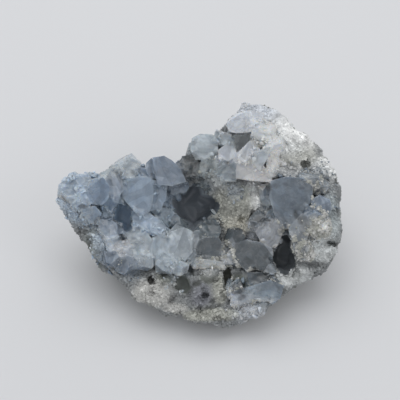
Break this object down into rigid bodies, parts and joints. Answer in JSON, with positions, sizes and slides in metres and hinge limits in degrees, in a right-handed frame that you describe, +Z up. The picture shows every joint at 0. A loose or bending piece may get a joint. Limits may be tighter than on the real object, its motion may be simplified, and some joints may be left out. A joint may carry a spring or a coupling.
{
  "type": "celestite geode",
  "caption": "Broken geode fragment: a lump of dolomite rock with a crust of pale blue celestite crystals on its open face, resting on a small flat spot.",
  "frame": {"origin": "under the middle of the whole fragment, level with the surface it rests on", "axes": "+Z up, +X along the length of the broken face with its pointed end at -X, and the face leans back from -Y, so that it looks up and towards -Y"},
  "size_m": [0.1406, 0.1028, 0.0711],
  "materials": {
    "dolomite": "matte",
    "celestite": "gloss"
  },
  "bodies": {
    "root": {"host_rock": "dolomite", "celestite_crust": "celestite"}
  },
  "joints": []
}
